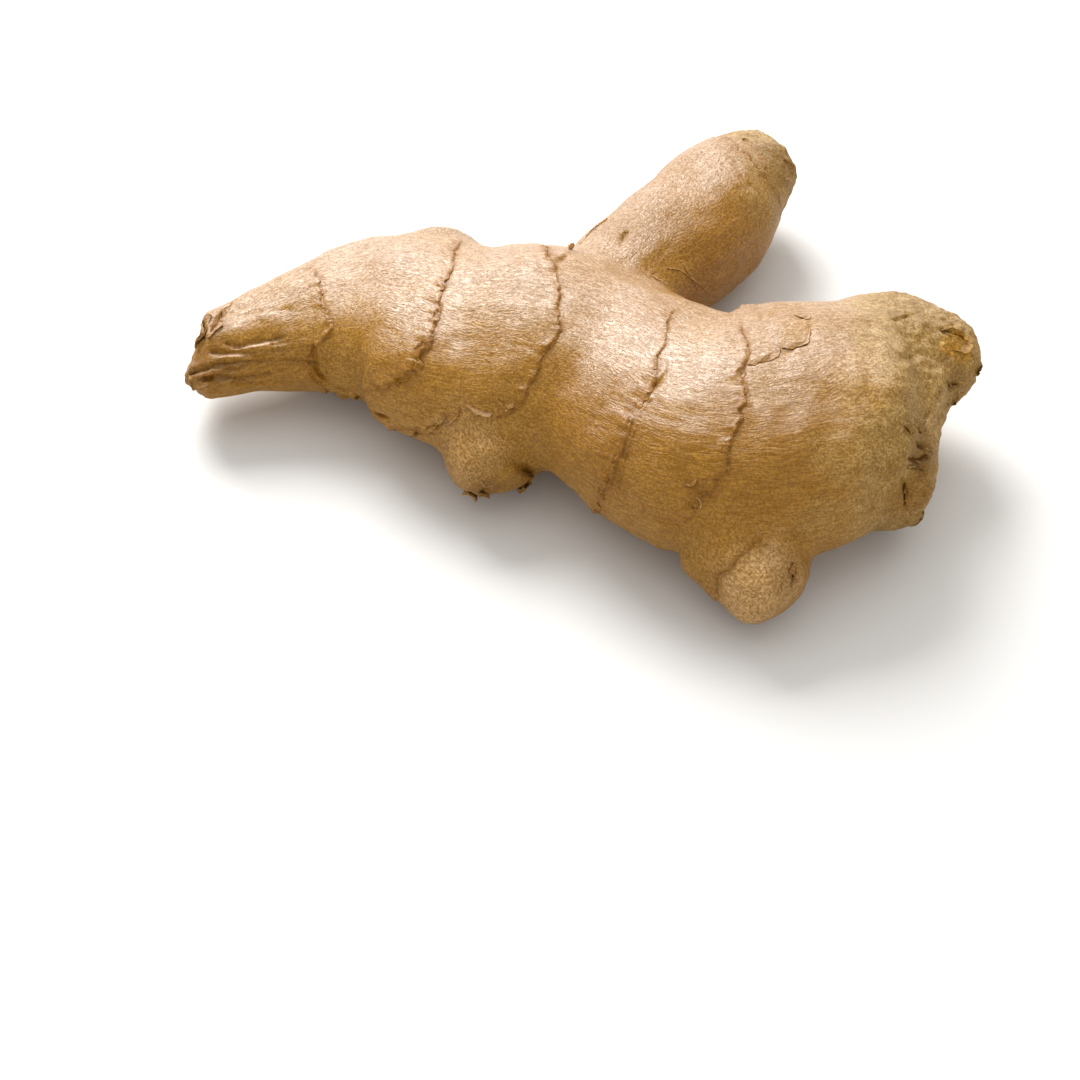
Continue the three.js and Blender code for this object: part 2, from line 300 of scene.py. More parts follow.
# Torn flakes of dry skin: the edge where each is held and its free edge, as picture points, and how far
# the free edge lifts, in millimetres.
FLAKES = [
    ([(420, 433), (424, 425), (432, 420), (446, 416)], [(424, 438), (429, 431), (437, 426), (449, 422)], 0.4),
    ([(444, 424), (452, 413), (460, 405)], [(449, 427), (457, 416), (464, 408)], 0.4),
    ([(466, 404), (480, 407), (492, 413)], [(470, 410), (481, 414), (494, 421)], 0.5),
    ([(496, 398), (503, 404), (514, 401)], [(500, 404), (506, 411), (519, 406)], 0.4),
    ([(199, 352), (203, 332), (212, 316)], [(192, 347), (198, 327), (208, 309)], 0.3),
    ([(205, 338), (211, 326), (221, 312)], [(212, 341), (218, 330), (227, 316)], 0.25),
    ([(190, 374), (198, 382), (208, 384)], [(186, 381), (195, 389), (207, 389)], 0.2),
    (
        [(741, 363), (757, 359), (772, 352), (780, 347)],
        [(741, 368), (758, 364), (775, 358), (784, 352)],
        0.12,
    ),
    ([(782, 348), (795, 342), (804, 337), (808, 328)], [(787, 353), (799, 348), (810, 341), (814, 331)], 0.2),
    ([(794, 315), (803, 313), (811, 317)], [(795, 319), (804, 318), (813, 322)], 0.15),
    ([(686, 484), (690, 479), (697, 478)], [(690, 489), (694, 484), (699, 483)], 0.35),
    ([(706, 480), (709, 486), (706, 493)], [(702, 482), (704, 487), (702, 491)], 0.3),
    ([(476, 492), (482, 496), (490, 496)], [(478, 486), (483, 489), (489, 490)], 0.8),
    ([(464, 492), (470, 497), (477, 499)], [(467, 488), (472, 491), (478, 494)], 0.6),
    ([(521, 470), (527, 476), (526, 484)], [(530, 472), (535, 477), (534, 485)], 0.5),
    ([(514, 487), (524, 487), (532, 483)], [(516, 494), (526, 494), (535, 488)], 0.4),
    ([(940, 330), (952, 335), (964, 340)], [(941, 326), (954, 330), (967, 335)], 0.6),
    ([(954, 350), (962, 345), (969, 340)], [(960, 357), (968, 352), (975, 346)], 0.7),
    ([(971, 356), (974, 366), (973, 376)], [(978, 355), (981, 366), (979, 378)], 0.3),
    ([(944, 381), (952, 380), (960, 384)], [(944, 386), (952, 386), (960, 390)], 0.5),
    ([(947, 404), (952, 398), (957, 392)], [(953, 408), (958, 402), (963, 396)], 0.3),
    ([(903, 424), (906, 431), (911, 437)], [(908, 421), (911, 428), (915, 434)], 0.6),
    ([(914, 420), (919, 427), (925, 432)], [(919, 418), (924, 424), (929, 429)], 0.6),
    ([(908, 456), (918, 457), (932, 452)], [(908, 461), (918, 463), (934, 458)], 0.5),
    ([(905, 467), (914, 472), (924, 472)], [(908, 462), (916, 466), (926, 466)], 0.4),
    ([(917, 478), (922, 486), (923, 496)], [(925, 476), (930, 486), (931, 497)], 0.5),
    ([(905, 482), (909, 494), (916, 504)], [(900, 486), (904, 499), (912, 509)], 0.5),
    ([(905, 522), (915, 518), (923, 510)], [(909, 529), (919, 525), (927, 516)], 0.4),
    ([(793, 563), (799, 570), (798, 582)], [(788, 566), (791, 573), (790, 584)], 0.6),
    ([(783, 160), (786, 170), (784, 180)], [(790, 160), (792, 171), (790, 182)], 0.3),
    ([(742, 140), (752, 154), (764, 168)], [(747, 137), (757, 151), (770, 164)], 0.4),
]
# Thin dry root fibres: picture points from the held end to the tip, radius and lift in millimetres.
FIBRES = [
    ([(574, 233), (573, 229), (572, 225)], 0.75, 0.1),
    ([(607, 219), (597, 227), (587, 236), (579, 245)], 0.2, 0.05),
    ([(666, 268), (680, 270), (692, 279), (698, 290)], 0.12, 0.1),
    ([(684, 266), (690, 277), (701, 286), (709, 292)], 0.12, 0.1),
    ([(652, 276), (664, 284), (680, 289)], 0.1, 0.1),
    ([(480, 480), (486, 486), (493, 484)], 0.15, 0.4),
    ([(697, 497), (702, 503), (700, 509)], 0.15, 0.3),
    ([(918, 446), (926, 450), (934, 449)], 0.18, 0.4),
    ([(945, 334), (957, 340), (968, 347)], 0.16, 0.5),
]

BRANCH_SHIFT = 40.0  # millimetres along the grain between one branch and the next
KIND_SHIFT = 17.3  # cells between one kind of lumps and the next
# The random values of the lumps, one for each cell of a block that repeats.
CELLS = 64
LATTICE = np.random.default_rng(11).uniform(-1.0, 1.0, (CELLS, CELLS, CELLS))


def paint(red, green, blue):
    """A paint colour of 0 to 255, as the light that it gives back."""
    shares = [value / 255 for value in (red, green, blue)]
    return tuple(s / 12.92 if s <= 0.04045 else ((s + 0.055) / 1.055) ** 2.4 for s in shares)


def ease(value, low, high):
    """0 below low, 1 above high, and a smooth rise between."""
    share = np.clip((value - low) / (high - low), 0.0, 1.0)
    return share * share * (3 - 2 * share)


def lumps(places, size, kind=0):
    """Smooth random lumps from -1 to 1, about one for each size; each kind has its own."""
    scaled = places / size + kind * KIND_SHIFT
    cell = np.floor(scaled).astype(np.int64)
    part = scaled - cell
    part = part * part * (3 - 2 * part)
    total = 0.0
    for corner in np.ndindex(2, 2, 2):
        x, y, z = ((cell + corner) % CELLS).T
        weight = np.prod(np.where(corner, part, 1 - part), axis=1)
        total = total + weight * LATTICE[x, y, z]
    return total


class Limb:
    """One limb of the root: its middle line, its girth and the scars round it."""

    def __init__(self, stations, scars=(), marks=()):
        stations = np.array(stations)
        middles, girths = stations[:, :3], stations[:, 3:]
        line = self.smooth(middles, 2 * middles[0] - middles[1], 2 * middles[-1] - middles[-2])
        girth = self.smooth(girths, girths[0], girths[-1])
        self.middle = line + MIDDLE
        self.width, self.height = girth.T
        steps = np.linalg.norm(np.diff(line, axis=0), axis=1)
        self.along = np.concatenate([[0.0], np.cumsum(steps)])
        tangent = np.gradient(line, self.along, axis=0)
        self.tangent = tangent / np.linalg.norm(tangent, axis=1)[:, None]
        across = np.cross([0.0, 0.0, 1.0], self.tangent)
        self.across = across / np.linalg.norm(across, axis=1)[:, None]
        self.above = np.cross(self.tangent, self.across)
        self.scars = scars
        self.marks = marks

    @staticmethod
    def smooth(points, before, after, steps=24):
        """A smooth line through the points, with steps to each span."""
        padded = np.vstack([before, points, after])
        t = np.linspace(0, 1, steps, endpoint=False)[:, None]
        spans = []
        for p0, p1, p2, p3 in zip(padded, padded[1:], padded[2:], padded[3:]):
            slope1, slope2 = (p2 - p0) / 2, (p3 - p1) / 2
            spans.append(
                (2 * t**3 - 3 * t**2 + 1) * p1
                + (t**3 - 2 * t**2 + t) * slope1
                + (3 * t**2 - 2 * t**3) * p2
                + (t**3 - t**2) * slope2
            )
        return np.vstack(spans + [points[-1:]])

    def scar_at(self, scar, angle):
        """How far along the limb a scar lies at each angle: a smooth closed wave through its points."""
        at = np.array([point[0] for point in scar], dtype=float)
        distance = np.array([point[1] for point in scar], dtype=float)
        at = np.concatenate([at[-2:] - 360, at, at[:2] + 360])
        distance = np.concatenate([distance[-2:], distance, distance[:2]])
        slope = (distance[2:] - distance[:-2]) / (at[2:] - at[:-2])
        turned = at[2] + (angle - at[2]) % 360
        i = np.clip(np.searchsorted(at, turned, side="right") - 1, 2, len(at) - 3)
        span = at[i + 1] - at[i]
        t = (turned - at[i]) / span
        return (
            distance[i] * (2 * t**3 - 3 * t**2 + 1)
            + slope[i - 1] * span * (t**3 - 2 * t**2 + t)
            + distance[i + 1] * (3 * t**2 - 2 * t**3)
            + slope[i] * span * (t**3 - t**2)
        )

    def locate(self, places):
        """Of each place: its distance along the limb, its angle round it, how far it stands out from
        the plain girth, and its grain coordinates, which run along the limb."""
        nearest = np.empty(len(places), dtype=np.int64)
        for start in range(0, len(places), SEARCHED_AT_ONCE):
            some = slice(start, start + SEARCHED_AT_ONCE)
            square = (self.middle**2).sum(1) - 2 * places[some] @ self.middle.T
            nearest[some] = square.argmin(1)
        offset = places - self.middle[nearest]
        tangent = self.tangent[nearest]
        ahead = (offset * tangent).sum(1)
        across = (offset * self.across[nearest]).sum(1)
        above = (offset * self.above[nearest]).sum(1)
        width, height = self.width[nearest], self.height[nearest]
        turn = np.arctan2(above / height, across / width)
        reach = np.hypot(width * np.cos(turn), height * np.sin(turn))
        at_end = (nearest == 0) | (nearest == len(self.middle) - 1)
        radial = np.where(at_end, np.linalg.norm(offset, axis=1), np.hypot(across, above))
        distance = self.along[nearest] + ahead
        grain = np.stack([distance, across, above], 1)
        return distance, np.degrees(turn) % 360, radial - reach, grain

    def solid_lip(self, distance, angle):
        """How far the solid's internode edges lift the surface at each place."""
        lift = np.zeros(len(distance))
        begin = np.zeros(len(distance))
        for scar in self.scars:
            end = self.scar_at(scar, angle)
            share = np.clip((distance - begin) / (end - begin), 0, 1)
            lift = np.where((distance >= begin) & (distance < end + SOLID_STEP), SOLID_LIP * share**3, lift)
            begin = end + SOLID_STEP
        return lift

    def scar_distance(self, distance, angle, fray):
        """How far past the nearest scar each place lies, in millimetres, and how strongly that scar shows.
        Negative is before it."""
        nearest = np.full(len(distance), NO_SCAR)
        strength = np.zeros(len(distance))
        for scar, (mark, bare_from, bare_to) in zip(self.scars, self.marks):
            gap = distance - self.scar_at(scar, angle) - fray
            closer = np.abs(gap) < np.abs(nearest)
            nearest = np.where(closer, gap, nearest)
            below = 1 - ease(angle, bare_from - SCAR_FADE, bare_from + SCAR_FADE)
            above = ease(angle, bare_to - SCAR_FADE, bare_to + SCAR_FADE)
            strength = np.where(closer, mark * np.maximum(below, above), strength)
        return nearest, strength


TRUNK = Limb(TRUNK_STATIONS, TRUNK_SCARS, TRUNK_MARKS)
FINGER = Limb(FINGER_STATIONS, FINGER_SCARS, FINGER_MARKS)
LEFT_BUD = Limb(LEFT_BUD_STATIONS)
RIGHT_BUD = Limb(RIGHT_BUD_STATIONS, RIGHT_BUD_SCARS, RIGHT_BUD_MARKS)
BACK_BUD = Limb(BACK_BUD_STATIONS)
BRANCHES = [FINGER, LEFT_BUD, RIGHT_BUD, BACK_BUD]


def scar_fray(places):
    """How far the scars stray from their smooth lines at each place, in millimetres."""
    return 0.9 * lumps(places, 4.5, 1) + 0.5 * lumps(places, 1.4, 2)


class Chart:
    """Where each place of the skin lies on the root: on which limb, how far from a scar, in which grain."""

    def __init__(self, places):
        fray = scar_fray(places)
        distance, angle, gap, self.trunk_grain = TRUNK.locate(places)
        self.trunk_distance = distance
        self.trunk_gap = gap
        self.lip = TRUNK.solid_lip(distance, angle)
        self.scar, mark = TRUNK.scar_distance(distance, angle, fray)
        self.branch_gap = np.full(len(places), np.inf)
        self.branch_grain = np.zeros((len(places), 3))
        self.finger_distance = np.zeros(len(places))
        for number, limb in enumerate(BRANCHES):
            distance, angle, gap, grain = limb.locate(places)
            closer = gap < self.branch_gap
            self.branch_gap = np.where(closer, gap, self.branch_gap)
            self.branch_grain[closer] = grain[closer] + [number * BRANCH_SHIFT, 0, 0]
            owns = closer & (gap < self.trunk_gap)
            self.lip = np.where(owns, limb.solid_lip(distance, angle), self.lip)
            scar, strength = limb.scar_distance(distance, angle, fray)
            self.scar = np.where(owns, scar, self.scar)
            mark = np.where(owns, strength, mark)
            if limb is FINGER:
                finger_gap = gap
                self.finger_distance = np.where(owns, distance, 0.0)
            else:
                self.finger_distance = np.where(owns, 0.0, self.finger_distance)
        self.branch = ease(self.trunk_gap - self.branch_gap, -1.2, 1.2)
        self.seam = 1 - ease(np.abs(self.trunk_gap - self.branch_gap), 1.0, 5.0)
        self.marked = mark * ease(np.abs(self.trunk_gap - finger_gap), 2.2, 5.0)


def mesh_places(mesh):
    """The mesh's vertices, in millimetres."""
    places = np.empty(len(mesh.vertices) * 3)
    mesh.vertices.foreach_get("co", places)
    return places.reshape(-1, 3) / MM


def mesh_normals(mesh):
    """The directions in which the mesh's vertices face."""
    normals = np.empty(len(mesh.vertices) * 3)
    mesh.vertex_normals.foreach_get("vector", normals)
    return normals.reshape(-1, 3)


def mesh_edges(mesh):
    """The mesh's edges, as pairs of vertices."""
    edges = np.empty(len(mesh.edges) * 2, dtype=np.int32)
    mesh.edges.foreach_get("vertices", edges)
    return edges.reshape(-1, 2)


def move_places(mesh, places):
    """Puts the mesh's vertices at the places, in millimetres."""
    mesh.vertices.foreach_set("co", (places * MM).ravel())
    mesh.update()


def relax(places, edges, share, rounds):
    """Draws each place towards the middle of its neighbours, by its share, a number of times."""
    first, second = edges.T
    count = np.bincount(edges.ravel(), minlength=len(places))[:, None]
    for _ in range(rounds):
        total = np.stack(
            [
                np.bincount(first, places[second, axis], len(places))
                + np.bincount(second, places[first, axis], len(places))
                for axis in range(3)
            ],
            axis=1,
        )
        places = places + share[:, None] * (total / count - places)
    return places


def line_of_sight(x, y):
    """The way that the camera looks through a picture point."""
    side = SENSOR / LENS
    right = (x / PICTURE - 0.5) * side
    high = (0.5 - y / PICTURE) * side
    return (LOOK + UP * high + Vector((right, 0, 0))).normalized()


def seen_at(tree, x, y):
    """The place on the skin, in millimetres, that the camera sees at a picture point."""
    ray = line_of_sight(x, y)
    hit = tree.ray_cast(EYE, ray)[0]
    if hit is None:
        hit = tree.find_nearest(EYE + ray * CAMERA_DISTANCE)[0]
    return np.array(hit) / MM


def crease_depths(places, tree):
    """How deep the drawn creases are at each place, in millimetres, and how dark their bottoms are painted,
    as painted shade.
    """
    depth = np.zeros(len(places))
    stain = np.zeros(len(places))
    wobble = 0.3 * lumps(places, 1.6, 5)
    for drawn, half_width, deep, dark in CREASES:
        line = np.array([seen_at(tree, x, y) for x, y in drawn])
        reach = np.linalg.norm(line - line.mean(0), axis=1).max() + 5 * half_width + 2
        near = np.flatnonzero(np.linalg.norm(places - line.mean(0), axis=1) < reach)
        gap = np.full(len(near), np.inf)
        for begin, end in zip(line[:-1], line[1:]):
            span = end - begin
            share = np.clip((places[near] - begin) @ span / (span @ span), 0, 1)
            gap = np.minimum(gap, np.linalg.norm(places[near] - begin - share[:, None] * span, axis=1))
        ends = np.minimum(
            np.linalg.norm(places[near] - line[0], axis=1), np.linalg.norm(places[near] - line[-1], axis=1)
        )
        narrow = 0.45 + 0.55 * ease(ends, 0.0, 2.5)
        profile = np.exp(-(((gap + wobble[near]) / ((half_width + 0.15) * narrow)) ** 2))
        depth[near] = np.maximum(depth[near], deep * profile)
        stain[near] = np.maximum(stain[near], dark * profile)
    return depth, stain


def patches(places, tree, drawn):
    """Soft round patches with uneven edges at picture points, from 0 to 1."""
    total = np.zeros(len(places))
    uneven = 1 + 0.35 * lumps(places, 5.0, 8) + 0.2 * lumps(places, 1.8, 9)
    for (x, y), radius, strength in drawn:
        gap = np.linalg.norm(places - seen_at(tree, x, y), axis=1)
        total = np.maximum(total, strength * (1 - ease(gap * uneven, 0.35 * radius, radius)))
    return total


def write_share(mesh, name, values):
    """Stores one number for each vertex of the mesh, for its material."""
    mesh.attributes.new(name, "FLOAT", "POINT").data.foreach_set("value", values.astype(np.float32))


def write_vector(mesh, name, values):
    """Stores one vector for each vertex of the mesh, for its material."""
    layer = mesh.attributes.new(name, "FLOAT_VECTOR", "POINT")
    layer.data.foreach_set("vector", values.astype(np.float32).ravel())


def chart_skin(mesh, tree, dryness=0.0, paleness=0.0, past=NO_SCAR):
    """Stores what the skin's material reads: the grain, the scars, the creases and the colour patches.
    The dryness and paleness are the least shares of dry and of pale skin, and past is how far past a scar
    the skin may count as lying."""
    places = mesh_places(mesh)
    chart = Chart(places)
    depth, stain = crease_depths(places, tree)
    olive_end = ease(chart.trunk_distance + 3 * lumps(places, 7, 12), 126.0, 134.0) * (1 - chart.branch)
    olive_tip = ease(chart.finger_distance + 1.5 * lumps(places, 4, 13), 54.0, 58.0)
    dry_left = 1 - ease(chart.trunk_distance + 1.5 * lumps(places, 3, 14), 0.5, 5.0)
    write_vector(mesh, "trunk_grain", chart.trunk_grain)
    write_vector(mesh, "branch_grain", chart.branch_grain)
    write_share(mesh, "branch", chart.branch)
    write_share(mesh, "scar", np.clip(chart.scar, -NO_SCAR, past))
    write_share(mesh, "marked", chart.marked)
    # Painted shade: how dark the bottoms of the drawn creases, cracks and pits are painted.
    write_share(mesh, "stain", stain)
    # Painted highlight: a share from how far each vertex faces the top side, which paints the skin paler and
    # makes it glossier there.
    write_share(mesh, "upper", ease(mesh_normals(mesh) @ UPPER_SIDE, 0.45, 1.0))
    write_share(mesh, "sandy", np.maximum(patches(places, tree, SANDY), paleness))
    # Golden-brown patches: partly the skin's own colour, partly painted shade on the undersides and low
    # sides.
    write_share(mesh, "golden", patches(places, tree, GOLDEN) * (1 - paleness))
    write_share(mesh, "amber", patches(places, tree, AMBER))
    write_share(mesh, "olive", np.maximum.reduce([patches(places, tree, OLIVE), olive_end, olive_tip]))
    least_dry = np.maximum(dry_left, dryness)
    write_share(mesh, "dry", np.maximum(patches(places, tree, DRY), least_dry))


def sculpt(mesh, tree, lip_height, wrinkle_height):
    """Shapes the fine skin: soft seams between the limbs, frayed scars, wrinkles, furrows and creases."""
    places = mesh_places(mesh)
    edges = mesh_edges(mesh)
    chart = Chart(places)
    normals = mesh_normals(mesh)
    places = places - normals * chart.lip[:, None]
    near_scar = 1 - ease(np.abs(chart.scar), 2.0, 4.0)
    torn_end = ease(chart.trunk_distance, 119.0, 127.0) * (1 - chart.branch)
    softness = np.maximum.reduce([0.5 * near_scar, 0.6 * chart.seam, 0.6 * torn_end])
    places = relax(places, edges, np.maximum(softness, LEAST_SOFTNESS), SOFTENING_ROUNDS)
    move_places(mesh, places)

    normals = mesh_normals(mesh)
    chart = Chart(places)
    grain = np.where(chart.branch[:, None] > 0.5, chart.branch_grain, chart.trunk_grain)
    past = chart.scar
    torn_right = ease(chart.trunk_distance, 132.0, 140.0) * (1 - chart.branch)
    torn_left = 1 - ease(chart.trunk_distance, 1.0, 6.0)
    torn_finger = ease(chart.finger_distance, 55.0, 62.0)
    torn = np.maximum.reduce([torn_right, torn_left, torn_finger])
    rough_right = ease(chart.trunk_distance, 124.0, 134.0) * (1 - chart.branch)

    lip = lip_height / MM * (0.7 + 0.6 * lumps(places, 3.0, 20))
    groove = -0.15 * lip * np.exp(-((past / 0.6) ** 2))
    raised = np.where(past < 0, lip * np.exp(past / 2.2), groove) * chart.marked
    frayed = ease(past, -3.0, -0.2) * (past < 0.2) * chart.marked
    teeth = 0.35 * frayed * lumps(grain * [0.35, 1.0, 1.0], 0.9, 21)

    long_grain = grain * [0.2, 1.0, 1.0]
    waves = grain + 1.2 * np.stack([lumps(places, 5, 22), lumps(places, 5, 23), lumps(places, 5, 24)], 1)
    fine = 1 - np.abs(lumps(waves * [0.18, 1.0, 1.0], 1.1, 25)) * 2
    broad = lumps(long_grain, 2.6, 26)
    wrinkled = wrinkle_height / MM * (1 + 0.3 * chart.branch + 0.6 * rough_right)
    wrinkles = wrinkled * (0.55 * fine + 0.9 * broad)
    ring_lines = 0.08 * lumps(grain * [1.0, 0.12, 0.12], 1.3, 27) * ease(6 - np.abs(past), 0, 4)
    slow = 0.22 * lumps(places, 6.0, 28) + 0.12 * lumps(places, 3.0, 29)

    pleat_share = (1 - ease(chart.trunk_distance, 8.0, 27.0)) * (1 - chart.branch)
    pleats = pleat_share * -0.4 * np.abs(lumps(grain * [0.08, 1.0, 1.0], 1.8, 30))
    rags = torn * (0.18 * lumps(places, 2.2, 31) + 0.25 * lumps(places, 0.9, 32))
    folds = np.abs(lumps(waves * [0.45, 1.0, 1.0], 3.4, 33))
    pinched = np.abs(lumps(waves * [0.5, 1.0, 1.0], 1.4, 35))
    rough = rough_right * (0.16 * (0.4 - folds) + 0.06 * (0.4 - pinched) + 0.08 * lumps(places, 0.9, 34))

    depth, _ = crease_depths(places, tree)
    height = raised + teeth + wrinkles + ring_lines + slow + pleats + rags + rough - depth
    places = places + normals * height[:, None]
    move_places(mesh, places)
    keep_inside(mesh)


def keep_inside(mesh):
    """Keeps the mesh inside the solid's box."""
    low, high = np.array(solid_box) / MM
    move_places(mesh, np.clip(mesh_places(mesh), low + SKIN_INSET, high - SKIN_INSET))


def settle_modifiers(obj):
    """Replaces the object's mesh by the one that its modifiers make."""
    depsgraph = bpy.context.evaluated_depsgraph_get()
    made = bpy.data.meshes.new_from_object(obj.evaluated_get(depsgraph))
    old = obj.data
    obj.modifiers.clear()
    obj.data = made
    bpy.data.meshes.remove(old)
    made.name = obj.name


def put_in_scene(name, mesh):
    """A new object of the mesh, at the origin."""
    obj = bpy.data.objects.new(name, mesh)
    bpy.context.scene.collection.objects.link(obj)
    return obj


def merged_copy(node):
    """A copy of a solid's loose triangles as one closed mesh."""
    mesh = bpy.data.meshes.new(node)
    solid = bmesh.new()
    solid.from_mesh(bpy.data.objects[node].data)
    bmesh.ops.remove_doubles(solid, verts=solid.verts, dist=SAME_PLACE)
    bmesh.ops.recalc_face_normals(solid, faces=solid.faces)
    solid.to_mesh(mesh)
    solid.free()
    return mesh


def surface_of(obj):
    """A search tree of the object's surface, in metres."""
    return BVHTree.FromObject(obj, bpy.context.evaluated_depsgraph_get())


def across_limb(limb, tree, distance, angle):
    """The place on the skin at a distance along the limb and an angle round it, and the way out there.
    Where another limb covers it, there is none."""
    index = np.interp(distance, limb.along, np.arange(len(limb.along)))
    low = int(index)
    high = min(low + 1, len(limb.along) - 1)
    lines = (limb.middle, limb.across, limb.above)
    middle, across, above = (rows[low] + (rows[high] - rows[low]) * (index - low) for rows in lines)
    turn = math.radians(angle)
    out = across * math.cos(turn) * limb.width[low] + above * math.sin(turn) * limb.height[low]
    reach = np.linalg.norm(out)
    out = out / reach
    hit, _, _, far = tree.ray_cast(Vector(middle * MM), Vector(out))
    if hit is None or far / MM > reach + COVERED:
        return None, out
    return np.array(hit) / MM, out


def thin_sheet(name, columns, place_at, thickness):
    """A thin closed sheet: a grid whose points are put at place_at(along, across), from 0 to 1.
    Points that have no place are left out."""
    mesh = bpy.data.meshes.new(name)
    sheet = bmesh.new()
    bmesh.ops.create_grid(sheet, x_segments=columns, y_segments=SHEET_ROWS, size=0.5)
    nowhere = []
    for vertex in sheet.verts:
        place = place_at(vertex.co.x + 0.5, vertex.co.y + 0.5)
        if place is None:
            nowhere.append(vertex)
        else:
            place[2] = max(place[2], TRIM_INSET)
            vertex.co = Vector(place * MM)
    bmesh.ops.delete(sheet, geom=nowhere, context="VERTS")
    bmesh.ops.remove_doubles(sheet, verts=sheet.verts, dist=SAME_PLACE)
    bmesh.ops.recalc_face_normals(sheet, faces=sheet.faces)
    corners = KDTree(len(sheet.verts))
    for number, vertex in enumerate(sheet.verts):
        corners.insert(vertex.co, number)
    corners.balance()
    bmesh.ops.solidify(sheet, geom=sheet.faces, thickness=thickness * MM)
    draw_back(sheet, corners, 1.5 * thickness * MM)
    bmesh.ops.recalc_face_normals(sheet, faces=sheet.faces)
    sheet.to_mesh(mesh)
    sheet.free()
    return mesh


def draw_back(sheet, corners, most):
    """Draws the sheet's vertices back to within a distance of its corners, where a sharp fold threw
    them off."""
    for vertex in sheet.verts:
        corner, _, far = corners.find(vertex.co)
        if far > most:
            vertex.co = corner + (vertex.co - corner) * (most / far)


def scale_edge(name, limb, scar, tree, lift):
    """The dry edge of a scale leaf along one scar: a thin frayed strip that stands off the skin here
    and there."""
    columns = int(2 * math.pi * limb.width.max() / EDGE_SPACING)
    angles = np.linspace(0.0, 360.0, columns + 1)
    angles[-1] = 0.0
    base = limb.scar_at(scar, angles)
    on_scar = [across_limb(limb, tree, distance, angle)[0] for distance, angle in zip(base, angles)]
    found = np.array([spot is not None for spot in on_scar])
    spots = np.array([np.zeros(3) if spot is None else spot for spot in on_scar])
    chart = Chart(spots)
    own = 1 - chart.branch if limb is TRUNK else chart.branch
    worn = ease(chart.marked, 0.2, 0.6) * ease(own, 0.4, 0.8) * ease(lumps(spots, 5.0, 44), -0.6, -0.2)
    ragged = 0.5 * lumps(spots, 0.7, 41) + 0.5 * lumps(spots, 2.6, 42)
    raised = lift * (0.5 + 0.5 * lumps(spots, 4.0, 43) + 0.35 * lumps(spots, 1.1, 45))
    reach = scar_fray(spots) + 0.15 + ragged

    def place_at(share, rise):
        column = round(share * columns)
        if not found[column]:
            return None
        distance = base[column] - EDGE_WIDTH + (EDGE_WIDTH + reach[column]) * rise
        place, out = across_limb(limb, tree, distance, angles[column])
        if place is None:
            return None
        return place + out * (-0.15 + (0.17 + raised[column]) * worn[column] * rise**2)

    return thin_sheet(name, columns, place_at, EDGE_THICKNESS)


def hovering_at(tree, x, y, off):
    """The place that the camera sees at a picture point, and the way out there. Beside the root, it is
    towards the place on the line of sight nearest the skin, and at most the distance off the skin."""
    ray = line_of_sight(x, y)
    hit, out, _, _ = tree.ray_cast(EYE, ray)
    if hit is not None:
        return np.array(hit) / MM, np.array(out)
    on_ray = EYE + ray * CAMERA_DISTANCE
    for _ in range(6):
        skin, out, _, _ = tree.find_nearest(on_ray)
        on_ray = EYE + ray * (skin - EYE).dot(ray)
    beside = np.array(on_ray - skin) / MM
    far = max(np.linalg.norm(beside), 1e-6)
    return np.array(skin) / MM + beside * min(1.0, off / far), np.array(out)


def kept_near(tree, place, out, centre, most):
    """The place and its way out, or where it is farther than most from the centre, the skin's nearest place
    on the way there."""
    gap = place - centre
    far = np.linalg.norm(gap)
    if far <= most:
        return place, out
    spot, out, _, _ = tree.find_nearest(Vector((centre + gap * (most / far)) * MM))
    return np.array(spot) / MM, np.array(out)


def along_line(points, share):
    """The picture point at a share of a line's points."""
    points = np.array(points, dtype=float)
    at = np.linspace(0, 1, len(points))
    return np.array([np.interp(share, at, points[:, 0]), np.interp(share, at, points[:, 1])])


def line_length(points):
    """The length of a line of picture points on the skin, in millimetres, about."""
    return np.linalg.norm(np.diff(np.array(points, dtype=float), axis=0), axis=1).sum() * POINT


def flake(name, held, free, lift, tree):
    """A torn flake of dry skin, from its held edge on the root to its free edge, which lifts and frays."""
    low, high = np.array(solid_box) / MM
    length = line_length(free)
    columns = max(6, int(length / FLAKE_SPACING))
    centre = hovering_at(tree, *along_line(held, 0.5), 0.0)[0]
    tatter = lumps(np.linspace([0, 0, 0], [length, 0, 0], columns + 1) + [free[0][0], free[0][1], 0], 0.9, 51)

    def place_at(share, rise):
        reach = rise * math.sin(math.pi * share) ** 0.6 * (1.1 + 0.5 * tatter[round(share * columns)])
        x, y = along_line(held, share) * (1 - reach) + along_line(free, share) * reach
        place, out = hovering_at(tree, x, y, 0.6 * rise)
        place, out = kept_near(tree, place, out, centre, 0.6 * length + 1.0)
        ripple = 0.3 * lift * lumps(place[None, :], 1.6, 52)[0]
        place = place + out * (-0.2 + 0.25 * rise + (lift + ripple) * rise**1.5)
        return np.clip(place, low + FLAKE_INSET, high - FLAKE_INSET)

    return thin_sheet(name, columns, place_at, FLAKE_THICKNESS)


